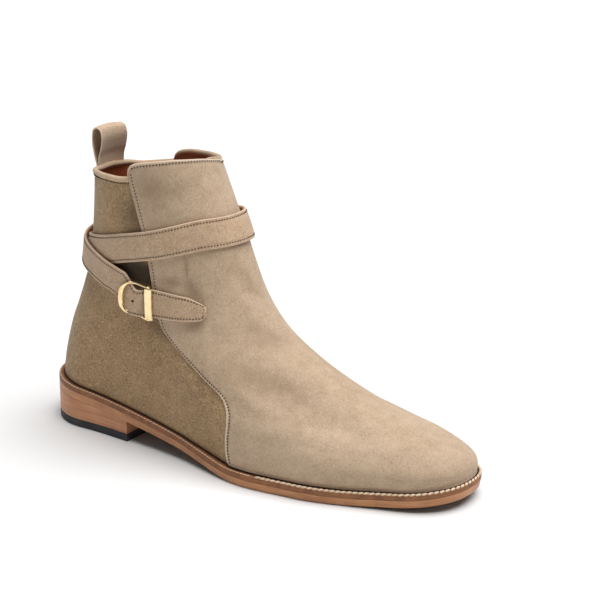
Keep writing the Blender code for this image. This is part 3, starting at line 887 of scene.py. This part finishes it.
binding_suede = suede("binding_suede", *BINDING_TONES, coarse=0.9, speck=0.5)
collar_bead = rolled_edge(first=-73.5, last=99.7, grows=2.0, level_at=collar_line,
                          lift_at=collar_bead_lift)
dress("collar_binding", collar_bead, binding_suede, "suede")
vamp_bead = rolled_edge(first=178.0, last=288.5, grows=12.0, level_at=top_edge,
                        lift_at=lambda turn: np.full(turn.shape, VAMP_BEAD_LIFT))
dress("vamp_binding", vamp_bead, binding_suede, "suede")


# Upper stitches: dark brown thread in a row beside every cut edge of the vamp and below the
# collar binding, each stitch pulled down into the nap.
STITCH_PITCH = 1.95
STITCH_LONG = 1.05
STITCH_THICK = 0.85
ROW_INSET = 2.5
COLLAR_ROW = 3.1
THREAD_SINKS = 0.05
ROW_LIFT = VAMP_HIGH - THREAD_SINKS
QUARTER_ROW_LIFT = 0.25
ROW_POINTS = 300
# levels along the vamp's rear edges and turns along the top edges, from first to last stitch
OUTER_ROW = (0.15, 11.25)
FLAP_ROW = (103.2, 199)
INNER_ROW = (10.7, 0.15)
VAMP_TOP_ROW = (199, 285)
QUARTER_TOP_ROW = (-71, 98)
UPPER_THREAD = (46, 33, 23), (78, 58, 41)
upper_thread = thread("upper_thread", *UPPER_THREAD, rough=0.8)


def sewn_row(level, turn, lift=ROW_LIFT):
    out = outward(level, turn)
    return along(surface(level, turn) + out * lift, out, STITCH_PITCH)


def beside_vamp_edge(row, inner):
    """Row on the vamp, in from its rear edge, on the outer or the inner side."""
    level = np.linspace(*row, ROW_POINTS)
    edge = read_all(VAMP_EDGES, level)[inner]
    turn = edge + ROW_INSET / distance(surface(level, edge + 1) - surface(level, edge))
    return sewn_row(level, 360 - turn if inner else turn)


def below_top(row, drop, level_at, lift=ROW_LIFT):
    """Row at a drop in millimetres below a top edge."""
    turn = np.linspace(*row, ROW_POINTS)
    level = level_at(turn)
    level = level - drop / distance(surface(level, turn) - surface(level - 1, turn))
    return sewn_row(level, turn, lift)


upper_rows = [
    beside_vamp_edge(OUTER_ROW, inner=False),
    below_top(FLAP_ROW, ROW_INSET, top_edge),
    beside_vamp_edge(INNER_ROW, inner=True),
    below_top(VAMP_TOP_ROW, COLLAR_ROW, top_edge),
    below_top(QUARTER_TOP_ROW, COLLAR_ROW, collar_line, QUARTER_ROW_LIFT),
]
stitched("upper_stitches", upper_rows, STITCH_LONG, STITCH_THICK, upper_thread, "suede")


# Strap: one long suede strap, lined with cognac leather, one and a half turns round the ankle.
# It is sewn on beside the vamp's inner edge, crosses itself behind and ends in a rounded tip.
STRAP_WIDE = 18.0
STRAP_TIP_WIDE = 12.8
STRAP_NARROWS = 455.0
STRAP_THICK = 2.0
STRAP_ROUTE = [
    # turn, level
    (-76, 6.5), (-25, 7.0), (50, 8.0), (98, 8.72), (150, 9.14), (185, 9.12),
    (270, 8.72), (340, 7.85), (410, 7.40), (425, 7.26), (436.9, 7.13), (443, 6.58),
    (451.6, 6.65), (458, 6.74), (478, 6.80), (490, 6.87),
]
STRAP_FIRST = STRAP_ROUTE[0][0]
STRAP_LAST = STRAP_ROUTE[-1][0]
STRAP_LIFT = [
    # turn, lift over the quarters
    (-76, 0.4), (80, 0.4), (91, 2.0), (160, 2.0), (195, 3.0), (215, 3.4), (260, 2.0), (290, 2.0),
    (316, 3.2), (437, 3.2), (447, 2.0), (490, 2.0),
]
STRAP_FACE = 1.95
STRAP_BACK = 0.6
LINING_INSET = 0.03
# length that the strap's columns are paced on; they lie wider apart on the strap itself
STRAP_PACED = 420.0
BEND_TURN = 10.0
#               degrees, share left, roundness
UPPER_CORNER = (13.0, 0.15, 1.4)
LOWER_CORNER = (4.0, 0.3, 2.0)
BUCKLE_TURN = 446.7
HOLE_ALONG = -2.8
HOLE_ACROSS = 1.0
HOLE_ROUND = 0.95
HOLE_DEEP = 1.0
HOLE_STEPS = np.linspace(-1.6, 1.6, 17)
BULGE_HIGH = 1.9
BULGE_AT = 0.3
BULGE_LONG = 5.2
PAD_HIGH = 0.3
SEAM_AT = 2.0
SEAM_WIDE = 0.6
SEAM_DEEP = 0.3
BUCKLE_PAINTED_SHADES = [
    # painted shades beside the buckle: place along the strap from its middle, reach, strength
    (6.0, 1.5, 0.45),
    (-8.4, 0.9, 0.5),
]
STRAP_TONES = (161, 133, 104), (208, 179, 149), (230, 204, 178)
BUCKLE_SHADE_DARK = (84, 64, 44)
HOLE_DARK = (24, 16, 10)
STRAP_LINING_TONES = (134, 92, 62), (176, 130, 94)


def on_strap(turn, across):
    """Points and outward directions of the strap's underside, across in millimetres up."""
    level = read(STRAP_ROUTE, turn)
    climb = read(STRAP_ROUTE, turn + BEND_TURN) - read(STRAP_ROUTE, turn - BEND_TURN)
    climb = climb / (2 * BEND_TURN)
    up = surface(level + 0.5, turn) - surface(level - 0.5, turn)
    run = (surface(level, turn + 1) - surface(level, turn - 1)) / 2 + climb[..., None] * up
    lean = (up * run).sum(-1) / (run * run).sum(-1)
    share = across / distance(up - lean[..., None] * run)
    level = level + share * (1 - lean * climb)
    out = outward(level, turn - share * lean)
    return surface(level, turn - share * lean) + out * read(STRAP_LIFT, turn)[..., None], out


buckle_ends, _ = on_strap(np.array((BUCKLE_TURN, BUCKLE_TURN + 1)), np.zeros(2))
DEGREE_LONG = distance(buckle_ends[1] - buckle_ends[0])


def strap_half(turn, corner):
    """Half of the strap's width, narrowing to the tip and rounded at one of its corners, which is
    (length in degrees, share left at the very end, roundness)."""
    long, reach, roundness = corner
    half = np.interp(turn, (STRAP_NARROWS, STRAP_LAST), (STRAP_WIDE / 2, STRAP_TIP_WIDE / 2))
    left = np.clip((STRAP_LAST - turn) / long, 0, 1)
    return half * (reach + (1 - reach) * (1 - (1 - left) ** roundness) ** (1 / roundness))


def strap_across(turn, v):
    """Distance across the strap at a share of its width, from its lower to its upper edge."""
    return (2 * v - 1) * np.where(v < 0.5, strap_half(turn, LOWER_CORNER), strap_half(turn, UPPER_CORNER))


def strap_face(u, v):
    turn = STRAP_FIRST + (STRAP_LAST - STRAP_FIRST) * u
    across = strap_across(turn, v)
    along_mm = (turn - BUCKLE_TURN) * DEGREE_LONG
    points, outs = on_strap(turn, across)
    bulge = BULGE_HIGH * bell(along_mm - BULGE_AT, BULGE_LONG, 4)
    hole = np.hypot(along_mm - HOLE_ALONG, across - HOLE_ACROSS)
    # Painted shade beside the buckle's bar and inside its round end.
    buckle_shade = sum(strong * bell(along_mm - at, reach) for at, reach, strong in BUCKLE_PAINTED_SHADES)
    return points + outs * bulge[..., None], outs, {"hole_mm": hole, "shade": buckle_shade}


def strap_painted_shade(finish):
    # Painted shade beside the buckle, and the hole's shallow dip painted near-black as its shade.
    pierced = 1 - finish.kept("hole_mm").ramp(0.7 * HOLE_ROUND, 1.25 * HOLE_ROUND)
    return (finish.kept("shade"), BUCKLE_SHADE_DARK), (pierced, HOLE_DARK)


def with_fine(shares, middle, length):
    """Add fine steps to shares of a length round one place, both in millimetres."""
    fine = (middle + HOLE_STEPS) / length
    return np.unique(np.concatenate([shares[(shares < fine[0]) | (shares > fine[-1])], fine]))


hole_share = (BUCKLE_TURN + HOLE_ALONG / DEGREE_LONG - STRAP_FIRST) / (STRAP_LAST - STRAP_FIRST)
strap_columns = with_fine(paced(400, STRAP_PACED), hole_share * STRAP_PACED, STRAP_PACED)
strap_rows = with_fine(paced(16, STRAP_WIDE), STRAP_WIDE / 2 + HOLE_ACROSS, STRAP_WIDE)
strap_grid = np.meshgrid(strap_columns, strap_rows)
from_edge = STRAP_WIDE / 2 * (1 - np.abs(2 * strap_grid[1] - 1))
pad = PAD_HIGH * (1 - (1 - from_edge / (STRAP_WIDE / 2)) ** 4)
pad = pad - SEAM_DEEP * bell(from_edge - SEAM_AT, SEAM_WIDE)
hole_mm = strap_face(*strap_grid)[2]["hole_mm"]
pad = pad - HOLE_DEEP * np.clip((1.15 * HOLE_ROUND - hole_mm) / (0.4 * HOLE_ROUND), 0, 1)
strap = panel(strap_columns, strap_rows, strap_face, STRAP_BACK, STRAP_FACE + pad, round_off=0.7)
strap_suede = suede("strap_suede", *STRAP_TONES, coarse=0.9, speck=0.8, marks_and_painted_shade=strap_painted_shade)
dress("strap_suede_band", strap, strap_suede, "suede", "strap")
back_rows = LINING_INSET + (1 - 2 * LINING_INSET) * paced(8, STRAP_WIDE)
strap_back = panel(paced(210, STRAP_PACED), back_rows, strap_face, 0.0, STRAP_BACK, round_off=0.3)
strap_lining = lining_leather("strap_lining", *STRAP_LINING_TONES)
dress("strap_lining", strap_back, strap_lining, "lining_leather", "strap")


# Strap stitches: the upper's dark thread, which holds suede and lining together, in a row along
# both edges of the strap, with a short row at the tip and one across the sewn end.
STRAP_ROW = 1.9
ROW_STARTS = 1.5
ROW_STOPS = 1.8
CROSS_ROW_AT = 2.0
STRAP_ROW_POINTS = 900
CROSS_ROW_POINTS = 60


def strap_row(turn, v):
    turn, v = np.broadcast_arrays(turn, v)
    points, outs, _ = strap_face((turn - STRAP_FIRST) / (STRAP_LAST - STRAP_FIRST), v)
    return along(points + outs * STRAP_FACE, outs, STITCH_PITCH)


row_turns = np.linspace(STRAP_FIRST + ROW_STARTS, STRAP_LAST - ROW_STOPS, STRAP_ROW_POINTS)
row_inset = STRAP_ROW / STRAP_WIDE
cross_shares = np.linspace(row_inset, 1 - row_inset, CROSS_ROW_POINTS)
sewn_rows = [strap_row(row_turns, share) for share in (1 - row_inset, row_inset)]
sewn_rows += [strap_row(turn, cross_shares) for turn in (row_turns[-1], row_turns[0] + CROSS_ROW_AT)]
stitched("strap_stitches", sewn_rows, STITCH_LONG, STITCH_THICK, upper_thread, "suede")


# Buckle: a cast frame in pale polished gold, with a broad round end, thin arms beside the strap
# and a flat bar over it. It stays fastened.
BUCKLE_HIGH = 21.3
BAR_HIGH = 19.0
BUCKLE_LONG = 25.2
BUCKLE_END = 3.3
BUCKLE_ARM = 1.5
BUCKLE_BAR = 5.2
BUCKLE_THICK = 1.8
BUCKLE_LIFT = STRAP_THICK + 0.3
ROUND_LONG = 6.4
ARM_DROP = 1.7
BUCKLE_LEVEL = 6.715
BAR_LEANS = 4.3
BAR_LOW = 0.05
BAR_STANDS = 0.35
BAR_STEPS = (0, 0.08, 0.2, 0.4, 0.7)
END_SWELLS = 0.8
RUN_STEP = 0.004
FRAME_COLUMNS = 160
GOLD_TONES = (238, 208, 150), (254, 234, 190)
buckle_rise = distance(surface(BUCKLE_LEVEL + 0.5, BUCKLE_TURN + BAR_LEANS / 2)
                       - surface(BUCKLE_LEVEL - 0.5, BUCKLE_TURN - BAR_LEANS / 2))


def on_buckle(along_mm, across_mm, lift):
    """Points on the buckle, which lies level on the strap with its bar upright."""
    share = across_mm / buckle_rise
    turn = BUCKLE_TURN + along_mm / DEGREE_LONG
    level = BUCKLE_LEVEL + share
    outs = outward(level, turn + BAR_LEANS * share)
    lift = lift + BUCKLE_LIFT + read(STRAP_LIFT, turn)
    return surface(level, turn + BAR_LEANS * share) + outs * lift[..., None], outs


def frame_line(share):
    """Middle line of the frame: round end, upper arm, bar and lower arm."""
    half = (BUCKLE_HIGH - BUCKLE_ARM) / 2
    centre = BUCKLE_END / 2 - BUCKLE_LONG / 2 + ROUND_LONG
    bar = BUCKLE_LONG / 2 - BUCKLE_BAR / 2
    turns = np.linspace(math.pi / 2, 3 * math.pi / 2, 61)
    round_end = np.stack([centre + ROUND_LONG * np.cos(turns), half * np.sin(turns)], -1)
    line = np.concatenate([[(bar, 0), (bar, half)], round_end, [(bar, -half), (bar, 0)]])
    run = run_along(line)
    spot = np.stack([np.interp(share * run[-1], run, line[:, i]) for i in range(2)], -1)
    broad = np.clip((centre - spot[:, 0]) / ROUND_LONG, 0, 1) ** END_SWELLS
    bow = np.sin(math.pi * np.clip((spot[:, 0] - centre + ROUND_LONG) / (bar - centre + ROUND_LONG), 0, 1))
    return spot, BUCKLE_ARM + (BUCKLE_END - BUCKLE_ARM) * broad, -ARM_DROP * bow ** 2


FRAME_PROFILE = [
    # share of half the wire's width, share of its thickness
    (-1.0, 0.0), (-1.0, 0.45), (-0.86, 0.75), (-0.6, 0.95), (0.0, 1.0),
    (0.6, 0.95), (0.86, 0.75), (1.0, 0.45), (1.0, 0.0),
]


def frame_place(share, row):
    side_share, lift = np.array(FRAME_PROFILE)[row.astype(int) % len(FRAME_PROFILE)].T
    spot, wide, bow = frame_line(np.mod(share, 1))
    run = frame_line(np.mod(share + RUN_STEP, 1))[0] - frame_line(np.mod(share - RUN_STEP, 1))[0]
    run = unit(run)
    spot = spot + np.stack([run[:, 1], -run[:, 0]], -1) * (side_share * wide / 2)[:, None]
    return on_buckle(spot[:, 0], spot[:, 1], bow + lift * BUCKLE_THICK)[0], {}


def bar_face(u, v):
    along_mm = BUCKLE_LONG / 2 - BUCKLE_BAR * (1 - u)
    across_mm = (2 * v - 1) * BAR_HIGH / 2
    return *on_buckle(along_mm, across_mm, np.zeros_like(u)), {}


def gold():
    finish = Finish("pale_gold", Metallic=1.0, Roughness=0.22)
    smudge = finish.noise(4, 3, 0.6)
    brushed = finish.noise(0.4, 2, 0.5, finish.place((1, 1, 8)))
    colour = finish.mottled(smudge, *GOLD_TONES)
    return finish.laid(brushed, 0.02, Base_Color=colour, Roughness=0.14 + 0.2 * smudge)


gold_finish = gold()
frame_shares = np.linspace(0, 1, FRAME_COLUMNS + 1)
frame_ring = closed_grid(frame_shares, np.arange(len(FRAME_PROFILE) + 1), frame_place, FINE_WELD)
dress("buckle_frame", frame_ring, gold_finish, "gold_metal", "buckle", sharp=50)
buckle_bar = panel(paced(6, BUCKLE_BAR, BAR_STEPS), paced(20, BAR_HIGH, BAR_STEPS), bar_face,
                   BAR_LOW, BUCKLE_THICK + BAR_STANDS, round_off=0.5)
dress("buckle_bar", buckle_bar, gold_finish, "gold_metal", "buckle", sharp=50)


# Pull loop: a ribbon of suede doubled into a loop, both ends sewn between binding and quarters at
# the collar's back. Its rear leg leans back, its front leg swells out above the neck.
LOOP_THICK = 0.95
LOOP_WIDE = 25.5
LOOP_LINE = [
    # share of the ribbon, depth towards the toe, height over the rim
    (0.00, -0.5, -3.0), (0.08, -0.6, 0.5), (0.22, -2.6, 8.4), (0.36, -3.8, 16.8), (0.45, -3.3, 22.6),
    (0.52, -0.7, 25.2), (0.60, 2.5, 24.0), (0.68, 3.9, 19.0), (0.78, 2.7, 12.0), (0.87, 0.9, 6.2),
    (0.95, 0.5, 0.5), (1.00, 0.5, -3.0),
]
LOOP_COLUMNS = 141
LOOP_TONES = (176, 147, 119), (224, 197, 169), (236, 214, 191)
COLLAR_HALF = 34.5


def loop_face(u, v):
    depth, height = read_all(LOOP_LINE, u)
    y = (v - 0.5) * LOOP_WIDE
    seat_turn = np.degrees(np.arcsin(-y / COLLAR_HALF))
    level = collar_line(seat_turn)
    seat = surface(level, seat_turn) - outward(level, seat_turn) * WALL_THICK / 2
    points = seat + np.stack([depth, np.zeros_like(y), height], -1)
    out = np.cross(np.gradient(points, axis=0), np.gradient(points, axis=1))
    return points, unit(out), {}


loop_suede = suede("loop_suede", *LOOP_TONES, coarse=0.9, speck=0.7)
pull_loop = panel(np.linspace(0, 1, LOOP_COLUMNS), paced(16, LOOP_WIDE), loop_face,
                  -LOOP_THICK / 2, LOOP_THICK / 2, round_off=0.4)
dress("pull_loop_ribbon", pull_loop, loop_suede, "suede", "pull_loop")


# Floor and studio: a wide plain pale floor, one very large soft light above, a little towards the
# toe and the inner side, and a dim even surround.
FLOOR_WIDE = 6.0
FLOOR_DROP = 0.0002
FLOOR_TONES = (231, 231, 231), (234, 234, 234)
SURROUND = 0.15
KEY_FROM = (0.22, 0.12, 0.97)
KEY_SPREAD = 60
KEY_STRENGTH = 4.0
floor_shape = bmesh.new()
bmesh.ops.create_grid(floor_shape, x_segments=2, y_segments=2, size=FLOOR_WIDE)
floor_mesh = bpy.data.meshes.new("floor")
floor_shape.to_mesh(floor_mesh)
floor_shape.free()
floor_mesh.transform(Matrix.Translation((0, 0, -FLOOR_DROP)))
floor_finish = Finish("floor_paper", Roughness=0.9)
floor_finish.feed(Base_Color=floor_finish.mottled(floor_finish.noise(400, 2), *FLOOR_TONES))
floor_mesh.materials.append(floor_finish.material)
floor = bpy.data.objects.new("floor", floor_mesh)
bpy.context.scene.collection.objects.link(floor)

scene = bpy.context.scene
scene.view_settings.view_transform = "Standard"
scene.view_settings.look = "None"
world = bpy.data.worlds.new("studio")
scene.world = world
world.use_nodes = True
surround = world.node_tree.nodes["Background"].inputs
surround["Color"].default_value = (1.0, 1.0, 1.0, 1.0)
surround["Strength"].default_value = SURROUND
light = bpy.data.lights.new("key", "SUN")
light.angle = math.radians(KEY_SPREAD)
light.energy = KEY_STRENGTH
lamp = bpy.data.objects.new("key", light)
lamp.location = KEY_FROM
lamp.rotation_euler = Vector(KEY_FROM).to_track_quat("Z", "Y").to_euler()
scene.collection.objects.link(lamp)


# Camera: at the photograph's angle, turned to frame the one boot as the photograph does. Angles
# are degrees, and it stands away from its target by a length in millimetres.
CAMERA_AROUND = 36.5
CAMERA_UP = 20.0
CAMERA_AWAY = 1200.0
CAMERA_TARGET = np.array((120.0, 0.0, 60.0))
CAMERA_PAN = -2.547
CAMERA_TILT = 1.431
FOCAL_PIXELS = 1946.76
PHOTO_PIXELS = 600
SENSOR = 36.0

around, height = math.radians(CAMERA_AROUND), math.radians(CAMERA_UP)
level = math.cos(height)
back = Vector((math.sin(around) * level, -math.cos(around) * level, math.sin(height)))
right = Vector((math.cos(around), math.sin(around), 0.0))
place = in_frame(CAMERA_TARGET + np.array(back) * CAMERA_AWAY)
pan = Matrix.Rotation(math.radians(CAMERA_PAN), 3, "Z")
back, right = pan @ back, pan @ right
back = Matrix.Rotation(math.radians(CAMERA_TILT), 3, right) @ back
up = back.cross(right)
camera_data = bpy.data.cameras.new("camera")
camera_data.sensor_width = SENSOR
camera_data.lens = FOCAL_PIXELS / PHOTO_PIXELS * SENSOR
camera = bpy.data.objects.new("camera", camera_data)
camera.matrix_world = Matrix.Translation(place) @ Matrix((right, up, back)).transposed().to_4x4()
scene.collection.objects.link(camera)
scene.camera = camera
